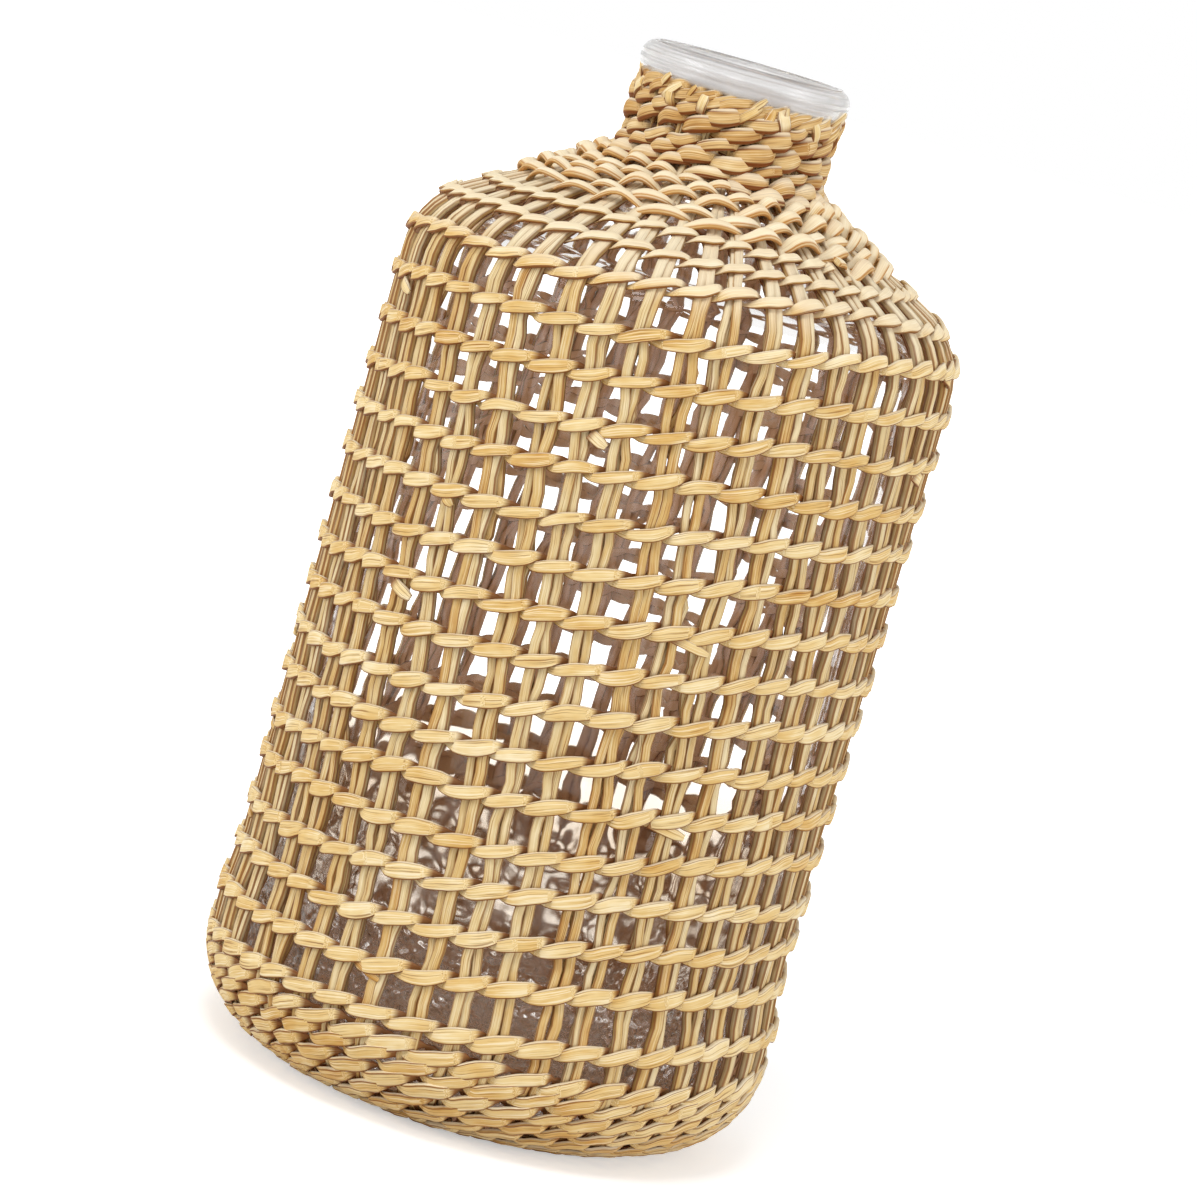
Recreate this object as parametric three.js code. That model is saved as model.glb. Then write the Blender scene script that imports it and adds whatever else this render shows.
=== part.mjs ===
// Straw-wrapped glass vase: a glass bottle inside a twined straw jacket.
// Millimetres, +Z up, origin on the table under the bottle's axis. The front of the vase faces -Y.
import * as THREE from "three";

const degrees = THREE.MathUtils.degToRad;

// Glass bottle
const HEIGHT = 260; // table to the top of the lip
const BODY_RADIUS = 63.7; // outside of the glass
const NECK_RADIUS = 18.6; // outside of the glass
const WALL = 2.8;
const FLOOR_THICKNESS = 8; // glass under the water
const FOOT_CURVE = 18; // radius between floor and body
const SHOULDER_CURVE = 16; // radius between body and shoulder
const SHOULDER_SLOPE = degrees(28); // shoulder above the horizontal
const NECK_CURVE = 14; // hollow radius between shoulder and neck
const NECK_LENGTH = 14.2; // straight, from the hollow curve to the lip
const LIP_RADIUS = 25.8;
const LIP_HEIGHT = 7.3;

// Straw stakes, which run up one side, under the floor and up the other
const STAKES = 24; // two crossed layers of half as many, each stake with two uprights
const STAKE_WIDTH = 3.8;
const STAKE_THICKNESS = 1.8;
const CROSS_PITCH = 3.4; // between neighbours where the layers cross under the floor
const STAKE_LEAN = degrees(10); // turn of a stake round the body, foot to shoulder

// Straw weavers, which twine round the uprights in pairs that climb side by side
const PAIRS = 2;
const LENGTHS = 6; // straws spliced end to end in each strand
const LENGTH_TURNS = 1.5; // turns that one straw reaches
const STRAND_HEIGHT = 2.2;
const STRAND_THICKNESS = 1.6;
const SPLICE_GAP = 1; // between the ends of two straws, behind an upright

// Close weave at the foot and the neck, and the border that finishes the neck
const MAT_THICKNESS = 3.2; // under the floor, and round the foot as a band
const COLLAR_THICKNESS = 2.2; // round the neck
const CLOSE_ROW = 5; // height of one ridge of close weave
const RIDGE_DEPTH = 0.7; // groove between ridges
const BAND_TOP = 21;
const COLLAR_FOOT_RADIUS = 47; // radius of the stakes where the collar starts
const BORDER_HEIGHT = 2.4;

const CLEARANCE = 0.3; // between pieces that touch
const ROUND_FACETS = 32; // round the axis
const BEND_STEP = degrees(35); // largest bend between facets along an outline
const BEND_REACH = 1; // to each side, over which the direction of an outline is taken

const STRAW = { color: 0xd8b878, roughness: 0.75, metalness: 0 };
const STAKE_STRAW = { color: 0xcdae70, roughness: 0.78, metalness: 0 };
const GLASS = { color: 0xe6ecea, roughness: 0.04, metalness: 0, transparent: true, opacity: 0.35 };

// Places that follow from the sizes
const uprights = 2 * STAKES;
const uprightAngle = (2 * Math.PI) / uprights;
const frontAngle = -Math.PI / 2;
const layer = STAKE_THICKNESS + CLEARANCE; // from one crossed layer to the other
const weaveReach = (STAKE_THICKNESS + STRAND_THICKNESS) / 2 + CLEARANCE; // stake's middle to a strand's middle
const strandRoom = weaveReach + STRAND_THICKNESS / 2 + CLEARANCE;
const crossRoom = layer + STAKE_THICKNESS / 2 + CLEARANCE;
const stakeOffset = Math.max(strandRoom, crossRoom); // glass to the stakes' middle
const closeOffset = stakeOffset + STAKE_THICKNESS / 2 + CLEARANCE; // glass to the inside of the close weave
const glassFloor = closeOffset + MAT_THICKNESS;
const lipFoot = HEIGHT - LIP_HEIGHT;
const borderFoot = lipFoot - CLEARANCE - BORDER_HEIGHT;
const stakeTop = borderFoot - CLEARANCE;
const footRadius = BODY_RADIUS - FOOT_CURVE; // where the floor starts to curve up
const footHeight = glassFloor + FOOT_CURVE;

// The shoulder: a curve in from the body, a straight slope and a hollow curve up into the neck.
const shoulderCentre = BODY_RADIUS - SHOULDER_CURVE;
const neckCentre = NECK_RADIUS + NECK_CURVE;
const bothCurves = SHOULDER_CURVE + NECK_CURVE;
const slopeAcross = shoulderCentre - neckCentre + bothCurves * Math.sin(SHOULDER_SLOPE);
const slopeUp = slopeAcross * Math.tan(SHOULDER_SLOPE);
const neckFoot = lipFoot - NECK_LENGTH;
const bodyTop = neckFoot - slopeUp - bothCurves * Math.cos(SHOULDER_SLOPE);

// The bottle's outline from the edge of the floor up to a height on the neck, moved outwards by an offset.
function outline(offset, top) {
  const turn = Math.PI / 2 - SHOULDER_SLOPE;
  const path = new THREE.Path();
  path.absarc(footRadius, footHeight, FOOT_CURVE + offset, -Math.PI / 2, 0, false);
  path.lineTo(BODY_RADIUS + offset, (footHeight + bodyTop) / 2);
  path.lineTo(BODY_RADIUS + offset, bodyTop);
  path.absarc(shoulderCentre, bodyTop, SHOULDER_CURVE + offset, 0, turn, false);
  path.absarc(neckCentre, neckFoot, NECK_CURVE - offset, Math.PI + turn, Math.PI, true);
  path.lineTo(NECK_RADIUS + offset, top);
  return path;
}

// Lengths along a path at the ends of its lines and at even steps along its arcs.
function bendLengths(path) {
  const ends = path.getCurveLengths();
  const lengths = [0];
  path.curves.forEach((curve, i) => {
    const bend = curve.getTangent(0).angleTo(curve.getTangent(1));
    const steps = Math.max(1, Math.ceil(bend / BEND_STEP));
    const start = i ? ends[i - 1] : 0;
    for (let step = 1; step <= steps; step += 1) {
      lengths.push(start + ((ends[i] - start) * step) / steps);
    }
  });
  return lengths;
}

const pointAt = (path, length) => path.getPoint(length / path.getLength());
const bendPoints = (path) => bendLengths(path).map((length) => pointAt(path, length));

// The point at a length along a path and the outward direction there, which is the average of both sides at a bend.
function stationAt(path, length) {
  const before = pointAt(path, Math.max(0, length - BEND_REACH));
  const after = pointAt(path, Math.min(path.getLength(), length + BEND_REACH));
  const tangent = after.sub(before).normalize();
  return { point: pointAt(path, length), outwards: new THREE.Vector2(tangent.y, -tangent.x) };
}

// The length along a path where a test on its point first holds.
function lengthWhere(path, test) {
  let low = 0;
  let high = path.getLength();
  for (let i = 0; i < 50; i += 1) {
    const middle = (low + high) / 2;
    if (test(pointAt(path, middle))) high = middle;
    else low = middle;
  }
  return high;
}

// A solid of revolution from a closed profile that climbs on its outside.
function revolved(profile) {
  return new THREE.LatheGeometry(profile, ROUND_FACETS).rotateX(Math.PI / 2);
}

// A closed strip through stations, each with a middle, an outward direction and a width. The section's corners
// are [share of the width, distance outwards], and the width lies square to the strip's own direction.
function strip(stations, section) {
  const positions = [];
  const faces = [];
  const corners = section.length;
  stations.forEach(({ middle, outwards, width }, i) => {
    const before = stations[Math.max(0, i - 1)].middle;
    const after = stations[Math.min(stations.length - 1, i + 1)].middle;
    const across = outwards.clone().cross(after.clone().sub(before)).normalize();
    section.forEach(([share, out]) => {
      const corner = middle.clone().addScaledVector(across, share * width).addScaledVector(outwards, out);
      positions.push(...corner.toArray());
    });
  });
  for (let i = 0; i + 1 < stations.length; i += 1) {
    for (let j = 0; j < corners; j += 1) {
      const a = i * corners + j;
      const b = i * corners + ((j + 1) % corners);
      faces.push(a, b, b + corners, a, b + corners, a + corners);
    }
  }
  const last = (stations.length - 1) * corners;
  for (let j = 1; j + 1 < corners; j += 1) {
    faces.push(0, j + 1, j);
    faces.push(last, last + j, last + j + 1);
  }
  const geometry = new THREE.BufferGeometry();
  geometry.setAttribute("position", new THREE.Float32BufferAttribute(positions, 3));
  geometry.setIndex(faces);
  return geometry;
}

// Stakes follow this line of straight facets, and the weavers wind round it.
const stakeLine = new THREE.Path(bendPoints(outline(stakeOffset, stakeTop)));
const bodyStart = lengthWhere(stakeLine, (point) => point.y >= footHeight);
const bodyEnd = lengthWhere(stakeLine, (point) => point.y >= bodyTop);
const bandTop = lengthWhere(stakeLine, (point) => point.y >= BAND_TOP);
const collarFoot = lengthWhere(stakeLine, (point) => point.y > bodyTop && point.x <= COLLAR_FOOT_RADIUS);

// How far an upright has turned round the axis at a length along the stake line.
function leanAt(length) {
  const climbed = (length - bodyStart) / (bodyEnd - bodyStart);
  return -STAKE_LEAN * THREE.MathUtils.clamp(climbed, 0, 1);
}

// A place on upright number n (fractions fall between uprights), lifted off the stake line.
function onUpright(n, length, lift) {
  const { point, outwards } = stationAt(stakeLine, length);
  const angle = frontAngle + (n + 0.5) * uprightAngle + leanAt(length);
  const turned = (v) => new THREE.Vector3(v.x * Math.cos(angle), v.x * Math.sin(angle), v.y);
  const direction = turned(outwards);
  return { middle: turned(point).addScaledVector(direction, lift), outwards: direction, radius: point.x };
}

// Uprights crowd together towards the neck. They narrow so that strands which pass them on the slant stay clear.
function stakeWidth(pitch) {
  return Math.min(STAKE_WIDTH, (pitch * STAKE_THICKNESS) / (2 * weaveReach));
}

const diamond = [
  [0.5, 0],
  [0, STAKE_THICKNESS / 2],
  [-0.5, 0],
  [0, -STAKE_THICKNESS / 2],
];

// One stake: down from the neck, across under the floor in its layer, and up the opposite side.
function stakeGeometry(index) {
  const perLayer = STAKES / 2;
  const upper = index >= perLayer;
  const place = (index % perLayer) - (perLayer - 1) / 2;
  const crossHalf = (perLayer * CROSS_PITCH) / 2;
  const crossHeight = glassFloor - stakeOffset + (upper ? layer : 0);
  const first = upper ? uprights / 4 : 0;
  const nearUpright = first + place - 0.5;
  const farUpright = first + uprights / 2 - place - 0.5;
  const down = new THREE.Vector3(0, 0, -1);

  const side = (n) =>
    bendLengths(stakeLine).map((length) => {
      const station = onUpright(n, length, 0);
      return { ...station, width: stakeWidth(station.radius * uprightAngle) };
    });
  const crossEnd = (reach) => {
    const along = new THREE.Vector3(reach, place * CROSS_PITCH, crossHeight);
    const middle = along.applyAxisAngle(new THREE.Vector3(0, 0, 1), frontAngle + first * uprightAngle);
    return { middle, outwards: down, width: stakeWidth(CROSS_PITCH) };
  };
  const stations = [
    ...side(farUpright).reverse(),
    crossEnd(-crossHalf),
    crossEnd(crossHalf),
    ...side(nearUpright),
  ];
  return strip(stations, diamond);
}

// The open rows climb evenly from the foot band to the collar. A crossing is where a strand passes an upright.
const strawCrossings = LENGTH_TURNS * uprights;
const rowHalf = STRAND_HEIGHT + CLEARANCE / 2; // two strands, one above the other
const firstRow = bandTop + CLEARANCE + rowHalf;
const lastRow = collarFoot - CLEARANCE - rowHalf;
const climb = (lastRow - firstRow) / (LENGTHS * strawCrossings + 1); // from one crossing to the next

const ridgeInside = [
  [0, -STRAND_THICKNESS / 2],
  [0.5, STRAND_THICKNESS / 2],
  [-0.5, STRAND_THICKNESS / 2],
];

// One straw of a strand. It passes in front of every second upright and behind the others. The partner strand
// does the opposite just below, so each upright is gripped between the two.
function weaverGeometry(pair, lower, length) {
  const startUpright = (pair * uprights) / PAIRS;
  const rise = ((STRAND_HEIGHT + CLEARANCE) / 2) * (lower ? -1 : 1);
  const splice = length * strawCrossings + (lower ? 0 : 1); // an upright that the strand passes behind
  const end = splice + strawCrossings;
  const gap = SPLICE_GAP / 2 / (BODY_RADIUS * uprightAngle);
  const crossings = [splice + gap];
  for (let n = splice + 1; n < end; n += 1) crossings.push(n);
  crossings.push(end - gap);

  const stations = crossings.map((n) => {
    const side = Math.round(n) % 2 === (lower ? 1 : 0) ? 1 : -1;
    const station = onUpright(startUpright + n, firstRow + climb * n + rise, side * weaveReach);
    return { ...station, width: STRAND_HEIGHT };
  });
  return strip(stations, ridgeInside);
}

// Close weave between two lengths along the stake line: a shell over the stakes, ridged outside by its rows.
function closeWeave(from, to, thickness) {
  const lifted = (length, lift) => {
    const { point, outwards } = stationAt(stakeLine, length);
    return point.addScaledVector(outwards, lift);
  };
  const insideLift = closeOffset - stakeOffset;
  const steps = 2 * Math.round((to - from) / CLOSE_ROW);
  const profile = [];
  for (let step = 0; step <= steps; step += 1) {
    const groove = step % 2 ? 0 : RIDGE_DEPTH;
    profile.push(lifted(from + ((to - from) * step) / steps, insideLift + thickness - groove));
  }
  const flats = 1 / Math.cos(Math.PI / ROUND_FACETS); // keeps the middles of the facets off the stakes
  const bends = bendLengths(stakeLine).filter((length) => length > from && length < to);
  [from, ...bends, to].reverse().forEach((length) => {
    const point = lifted(length, insideLift);
    profile.push(point.setX(point.x * flats));
  });
  profile.push(profile[0].clone());
  return revolved(profile);
}

// The bottle: its outside up to the neck, a rolled lip, and its inside down to a thick floor.
function bottleGeometry() {
  const bead = LIP_HEIGHT / 2;
  const beadRadius = LIP_RADIUS - bead;
  const mouth = beadRadius - NECK_RADIUS + WALL; // radius of the curve from the lip into the neck
  const floorTop = glassFloor + FLOOR_THICKNESS;
  const outside = outline(0, lipFoot);
  const inside = outline(-WALL, HEIGHT - mouth);
  const floorEdge = lengthWhere(inside, (point) => point.y >= floorTop);
  const bends = bendLengths(inside).filter((length) => length > floorEdge);

  const lip = new THREE.Path();
  lip.absarc(beadRadius, HEIGHT - bead, bead, -Math.PI / 2, Math.PI / 2, false);
  lip.absarc(beadRadius, HEIGHT - mouth, mouth, Math.PI / 2, Math.PI, false);
  const profile = [
    new THREE.Vector2(0, glassFloor),
    ...bendPoints(outside),
    ...bendPoints(lip),
    ...bends.slice(0, -1).reverse().map((length) => pointAt(inside, length)),
    pointAt(inside, floorEdge),
    new THREE.Vector2(0, floorTop),
  ];
  return revolved(profile);
}

// The flat mat that the vase stands on.
function matGeometry() {
  const edge = footRadius - CLEARANCE;
  return revolved([
    new THREE.Vector2(0, 0),
    new THREE.Vector2(edge, 0),
    new THREE.Vector2(edge, MAT_THICKNESS),
    new THREE.Vector2(0, MAT_THICKNESS),
  ]);
}

// The border under the lip: a ring over the ends of the stakes, chamfered outside.
function borderGeometry() {
  const inner = NECK_RADIUS + CLEARANCE;
  const outer = NECK_RADIUS + closeOffset + COLLAR_THICKNESS;
  const chamfer = BORDER_HEIGHT / 3;
  const profile = [
    new THREE.Vector2(inner, borderFoot),
    new THREE.Vector2(outer - chamfer, borderFoot),
    new THREE.Vector2(outer, borderFoot + chamfer),
    new THREE.Vector2(outer, borderFoot + BORDER_HEIGHT - chamfer),
    new THREE.Vector2(outer - chamfer, borderFoot + BORDER_HEIGHT),
    new THREE.Vector2(inner, borderFoot + BORDER_HEIGHT),
  ];
  return revolved([...profile, profile[0].clone()]);
}

const vase = new THREE.Group();
vase.name = "straw_wrapped_vase";

function add(name, geometry, look) {
  const mesh = new THREE.Mesh(geometry, new THREE.MeshStandardMaterial(look));
  mesh.name = name;
  vase.add(mesh);
}

const numbered = (name, i) => `${name}_${String(i + 1).padStart(2, "0")}`;

add("glass_bottle", bottleGeometry(), GLASS);
add("base_mat", matGeometry(), STRAW);
for (let i = 0; i < STAKES; i += 1) add(numbered("stake", i), stakeGeometry(i), STAKE_STRAW);

add("foot_band", closeWeave(0, bandTop, MAT_THICKNESS), STRAW);

for (let pair = 0; pair < PAIRS; pair += 1) {
  for (const lower of [false, true]) {
    const strand = `weaver_${pair + 1}${lower ? "b" : "a"}`;
    for (let i = 0; i < LENGTHS; i += 1) add(numbered(strand, i), weaverGeometry(pair, lower, i), STRAW);
  }
}

add("neck_collar", closeWeave(collarFoot, stakeLine.getLength(), COLLAR_THICKNESS), STRAW);
add("top_border", borderGeometry(), STRAW);

export default vase;
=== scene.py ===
# %% [markdown]
# # A straw-wrapped glass vase
# The vase is a clear glass bottle inside a jacket of twined straw. Straw stakes run up the glass, and pairs
# of straws wind round it, passing in front of one stake and behind the next. This lesson builds the jacket
# straw by straw with Geometry Nodes, because every row follows one rule, and turns the glass as a potter
# would. Everything stands in the frame of the packed CAD model, in metres, with the front of the vase
# facing -Y.

# %% Load the frame
import math

import bpy
import bmesh
from mathutils import Matrix, Vector


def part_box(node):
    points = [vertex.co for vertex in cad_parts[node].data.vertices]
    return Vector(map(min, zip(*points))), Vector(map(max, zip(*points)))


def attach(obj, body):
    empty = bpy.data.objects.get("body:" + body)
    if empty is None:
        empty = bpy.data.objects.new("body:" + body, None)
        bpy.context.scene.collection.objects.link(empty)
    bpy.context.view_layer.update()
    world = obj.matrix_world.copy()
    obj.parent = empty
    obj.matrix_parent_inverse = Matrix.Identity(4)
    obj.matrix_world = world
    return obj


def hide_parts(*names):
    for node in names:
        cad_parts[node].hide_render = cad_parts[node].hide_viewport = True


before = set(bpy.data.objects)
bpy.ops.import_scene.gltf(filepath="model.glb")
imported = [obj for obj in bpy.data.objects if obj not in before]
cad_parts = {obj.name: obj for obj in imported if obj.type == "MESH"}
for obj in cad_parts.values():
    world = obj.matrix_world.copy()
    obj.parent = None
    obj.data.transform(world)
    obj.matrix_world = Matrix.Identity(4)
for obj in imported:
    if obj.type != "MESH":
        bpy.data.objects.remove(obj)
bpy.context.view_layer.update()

# %% [markdown]
# ## The bottle's outline
# Glass and straw share one outline: a flat floor, a round foot, a straight body, a shoulder that slopes
# into a hollow curve, and a short neck. It could be drawn by eye as a Bezier curve, but then the straw and
# the inside of the glass would each need a drawing of their own. Written as arcs and straight stretches in
# the plane of radius and height, one outline can be moved outwards for the straw and inwards for the inside
# of the glass.

# %% Sizes of the bottle
mm = 0.001
glass_low, glass_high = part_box("glass_bottle")
HEIGHT = glass_high[2]
GLASS_FLOOR = glass_low[2]
BODY_RADIUS = 63.7 * mm
NECK_RADIUS = 18.6 * mm
NECK_LENGTH = 14.2 * mm  # the straight stretch below the lip
FOOT_CURVE = 18 * mm
SHOULDER_CURVE = 16 * mm
SHOULDER_SLOPE = math.radians(28)
NECK_CURVE = 14 * mm
LIP_HEIGHT = 7.3 * mm

lip_foot = HEIGHT - LIP_HEIGHT
neck_foot = lip_foot - NECK_LENGTH
both_curves = SHOULDER_CURVE + NECK_CURVE
shoulder_centre = BODY_RADIUS - SHOULDER_CURVE
neck_centre = NECK_RADIUS + NECK_CURVE
slope_across = shoulder_centre - neck_centre + both_curves * math.sin(SHOULDER_SLOPE)
body_top = neck_foot - slope_across * math.tan(SHOULDER_SLOPE) - both_curves * math.cos(SHOULDER_SLOPE)
foot_radius = BODY_RADIUS - FOOT_CURVE
foot_height = GLASS_FLOOR + FOOT_CURVE
print("height", round(HEIGHT, 4), "body ends at", round(body_top, 4), "neck starts at", round(neck_foot, 4))


# %% The outline as points
def arc(centre, radius, start, end, steps=24):
    """Points on an arc in the plane of radius and height, with its angles in degrees."""
    angles = [math.radians(start + (end - start) * i / steps) for i in range(steps + 1)]
    return [(centre[0] + radius * math.cos(a), centre[1] + radius * math.sin(a)) for a in angles]


def line(start, end, step=2 * mm):
    """Points along a straight stretch, without its two ends."""
    steps = max(2, round(math.dist(start, end) / step))
    return [tuple(a + (b - a) * i / steps for a, b in zip(start, end)) for i in range(1, steps)]


def outline(offset, start_radius, top):
    """The outline from a radius on the floor up to a height on the neck, moved outwards by an offset."""
    turn = 90 - math.degrees(SHOULDER_SLOPE)
    foot = arc((foot_radius, foot_height), FOOT_CURVE + offset, -90, 0)
    shoulder = arc((shoulder_centre, body_top), SHOULDER_CURVE + offset, 0, turn)
    hollow = arc((neck_centre, neck_foot), NECK_CURVE - offset, 180 + turn, 180)
    start = (start_radius, GLASS_FLOOR - offset)
    end = (NECK_RADIUS + offset, top)
    return [start, *line(start, foot[0]), *foot, *line(foot[-1], shoulder[0]), *shoulder,
            *line(shoulder[-1], hollow[0]), *hollow, *line(hollow[-1], end), end]


print("points on the outside of the glass", len(outline(0, 1 * mm, lip_foot)))

# %% [markdown]
# ## Writing node trees as formulas
# A Geometry Nodes tree or a material is a net of small steps. Placed by hand they are boxes and wires, and
# a long formula soon fills the screen. In a script it is clearer to write the formula itself. Two helpers
# allow that: a `Recipe` is one tree, and a `Field` is a number that is still a socket, so that `reach *
# cos(turn)` adds the Math nodes by itself.


# %% A number that is still a socket
class Field:
    """A number, direction or colour that a node gives. Sums and products of fields become Math nodes."""

    def __init__(self, recipe, socket):
        self.recipe = recipe
        self.socket = socket

    def __add__(self, other):
        return self.recipe.math("ADD", self, other)

    def __sub__(self, other):
        return self.recipe.math("SUBTRACT", self, other)

    def __rsub__(self, other):
        return self.recipe.math("SUBTRACT", other, self)

    def __mul__(self, other):
        return self.recipe.math("MULTIPLY", self, other)

    def __truediv__(self, other):
        return self.recipe.math("DIVIDE", self, other)

    __radd__ = __add__
    __rmul__ = __mul__


print("a field knows sums, differences, products and quotients")


# %% A node tree as nested calls
class Recipe:
    """A node tree that is written as nested calls."""

    def __init__(self, tree):
        self.tree = tree

    def pick(self, sockets, name):
        """The socket with a number, or the socket in use with a name."""
        if isinstance(name, int):
            return sockets[name]
        return next(s for s in sockets if s.enabled and name in (s.name, s.identifier))

    def feed(self, node, inputs):
        """Sets a node's inputs: a field is linked, and anything else becomes the socket's own value."""
        for name, value in inputs.items():
            socket = self.pick(node.inputs, name)
            if isinstance(value, Field):
                self.tree.links.new(value.socket, socket)
            else:
                socket.default_value = value

    def node(self, kind, inputs=None, **settings):
        made = self.tree.nodes.new(kind)
        for name, value in settings.items():
            setattr(made, name, value)
        self.feed(made, inputs or {})
        return made

    def out(self, node, name=0):
        return Field(self, self.pick(node.outputs, name))

    def math(self, operation, a, b=0.0):
        return self.out(self.node("ShaderNodeMath", {0: a, 1: b}, operation=operation))

    def most(self, first, *others):
        """The largest of several numbers."""
        for other in others:
            first = self.math("MAXIMUM", first, other)
        return first

    def vector(self, x, y, z):
        return self.out(self.node("ShaderNodeCombineXYZ", {0: x, 1: y, 2: z}))

    def split(self, vector):
        made = self.node("ShaderNodeSeparateXYZ", {0: vector})
        return [self.out(made, i) for i in range(3)]

    def ramp(self, value, start, end, low=0.0, high=1.0):
        """A smooth step from low to high as the value goes from start to end."""
        inputs = {"Value": value, "From Min": start, "From Max": end, "To Min": low, "To Max": high}
        return self.out(self.node("ShaderNodeMapRange", inputs, interpolation_type="SMOOTHSTEP"))

    def noise(self, place, scale=1.0, detail=1.0):
        """A smooth random number from 0 to 1 for a place in space."""
        return self.out(self.node("ShaderNodeTexNoise", {"Vector": place, "Scale": scale, "Detail": detail}))

    def chance(self, owner, seed, low=0.0, high=1.0):
        """A random number that is always the same for one owner and one seed."""
        inputs = {"Min": low, "Max": high, "ID": owner, "Seed": seed}
        return self.out(self.node("FunctionNodeRandomValue", inputs, data_type="FLOAT"), "Value")

    def mix(self, share, a, b):
        """A colour between two others."""
        inputs = {"Factor": share, "A": a, "B": b}
        return self.out(self.node("ShaderNodeMix", inputs, data_type="RGBA"), "Result")


print("a recipe knows", [name for name in vars(Recipe) if not name.startswith("_")])

# %% [markdown]
# ## One straw rule for the whole jacket
# Every straw runs along a path that follows the jacket's own outline, a little outside the glass. The paths
# could be drawn one by one in the viewport, but the jacket has hundreds. Here a place on the jacket is four
# numbers: how far along the outline, how far round, how far off the outline, and how far sideways. One
# group of nodes turns them into a point, so each kind of straw needs only a rule for its four numbers.

# %% The jacket's outline as a curve object
STAKE_OFFSET = 3.3 * mm  # glass to the middle of the stakes
JACKET_START = 2 * mm  # radius on the floor
JACKET_END = 257 * mm  # height on the neck
LAST_ROW = 251.2 * mm  # height of the last row
FOOT_SWELL = 1.6 * mm  # the jacket stands out a little where it is beaten down at the foot
SWELL_RADIUS = 60 * mm  # all of the swell from this radius on
SWELL_TOP = 30 * mm  # it fades out above this height
SWELL_FADE = 22 * mm


def jacket_line():
    """Points (radius, height) of the middle of the stakes, from close to the axis up to the border."""
    points = []
    for radius, height in outline(STAKE_OFFSET, JACKET_START, JACKET_END):
        fall = min(1.0, max(0.0, (height - SWELL_TOP) / SWELL_FADE))
        near_foot = (1 - fall * fall * (3 - 2 * fall)) * min(1.0, radius / SWELL_RADIUS) ** 2
        points.append((radius + FOOT_SWELL * near_foot, height))
    return points


jacket = jacket_line()
curve = bpy.data.curves.new("jacket_outline", "CURVE")
curve.dimensions = "3D"
spline = curve.splines.new("POLY")
spline.points.add(len(jacket) - 1)
for point, (radius, height) in zip(spline.points, jacket):
    point.co = (radius, 0, height, 1)
jacket_outline = bpy.data.objects.new("jacket_outline", curve)
bpy.context.scene.collection.objects.link(jacket_outline)
print("points on the jacket's outline", len(jacket))


# %% Lengths along the outline
def length_where(test, parts=20):
    """How far along the jacket's outline a test of radius and height first holds."""
    along = 0.0
    for before, after in zip(jacket, jacket[1:]):
        for i in range(parts):
            place = tuple(a + (b - a) * i / parts for a, b in zip(before, after))
            if test(*place):
                return along + math.dist(before, place)
        along += math.dist(before, after)
    return along


floor_edge = length_where(lambda r, z: r >= foot_radius)
body_start = length_where(lambda r, z: z >= foot_height)
body_end = length_where(lambda r, z: z >= body_top)
jacket_top = length_where(lambda r, z: z >= LAST_ROW)
print("outline lengths in mm: floor edge %.1f, body %.1f to %.1f, top %.1f"
      % tuple(v / mm for v in (floor_edge, body_start, body_end, jacket_top)))

# %% A place on the jacket
FRONT = math.radians(-90)
LEAN = math.radians(-10)  # the stakes turn this far round the body from foot to shoulder
LEAN_POWER = 1.3  # above 1, the lean grows as they climb


def on_jacket(recipe, outline_object, length, turn, lift, sideways=0.0):
    """Nodes for a point on the jacket. Gives the point and the outward direction there."""
    outline_curve = recipe.out(recipe.node("GeometryNodeObjectInfo", {"Object": outline_object}), "Geometry")
    sample = recipe.node("GeometryNodeSampleCurve", {"Curves": outline_curve, "Length": length},
                         mode="LENGTH", use_all_curves=True)
    radius, _, height = recipe.split(recipe.out(sample, "Position"))
    along_r, _, along_z = recipe.split(recipe.out(sample, "Tangent"))
    climbed = recipe.most((length - body_start) / (body_end - body_start), 0.0)
    angle = turn + recipe.math("POWER", recipe.math("MINIMUM", climbed, 1.0), LEAN_POWER) * LEAN
    point = recipe.vector(radius + lift * along_z, sideways, height - lift * along_r)
    outwards = recipe.vector(along_z, 0.0, 0.0 - along_r)

    def turned(vector):
        return recipe.out(recipe.node("ShaderNodeVectorRotate", {"Vector": vector, "Angle": angle},
                                      rotation_type="Z_AXIS"))

    return turned(point), turned(outwards)


print("the stakes lean by", round(math.degrees(LEAN)), "degrees")

# %% Uneven hand work
UPRIGHTS = 44
UPRIGHT_SHIFT = 0.14  # of the spacing
UPRIGHT_SEED = 5
SWOOP_AT = math.radians(48)  # the open rows run higher here, to the right of the front
SWOOP_POWER = 4.0  # higher makes the swoop narrower
SWOOP = 4.2 * mm


def upright_angle(recipe, number, uprights):
    """Nodes for the angle of an upright at the foot. Uprights that are set by hand aren't quite evenly
    spaced, so each has its own small shift, and a place between two takes its share of both."""
    whole = recipe.math("FLOOR", number)
    part = number - whole

    def shift(which):
        owner = recipe.math("FLOORED_MODULO", which, uprights)
        return recipe.chance(owner, UPRIGHT_SEED, -UPRIGHT_SHIFT, UPRIGHT_SHIFT)

    moved = number + 0.5 + shift(whole) * (1.0 - part) + shift(whole + 1.0) * part
    return moved * (2 * math.pi) / uprights + FRONT


def swoop_share(recipe, turn):
    """Nodes for how much of the swoop a row has here: all of it right of the front, none at the back."""
    towards = recipe.math("COSINE", turn - (FRONT + SWOOP_AT))
    return recipe.math("POWER", recipe.most(towards, 0.0), SWOOP_POWER)


print("uprights", UPRIGHTS, "each moved by up to", UPRIGHT_SHIFT, "of the spacing")

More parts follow.
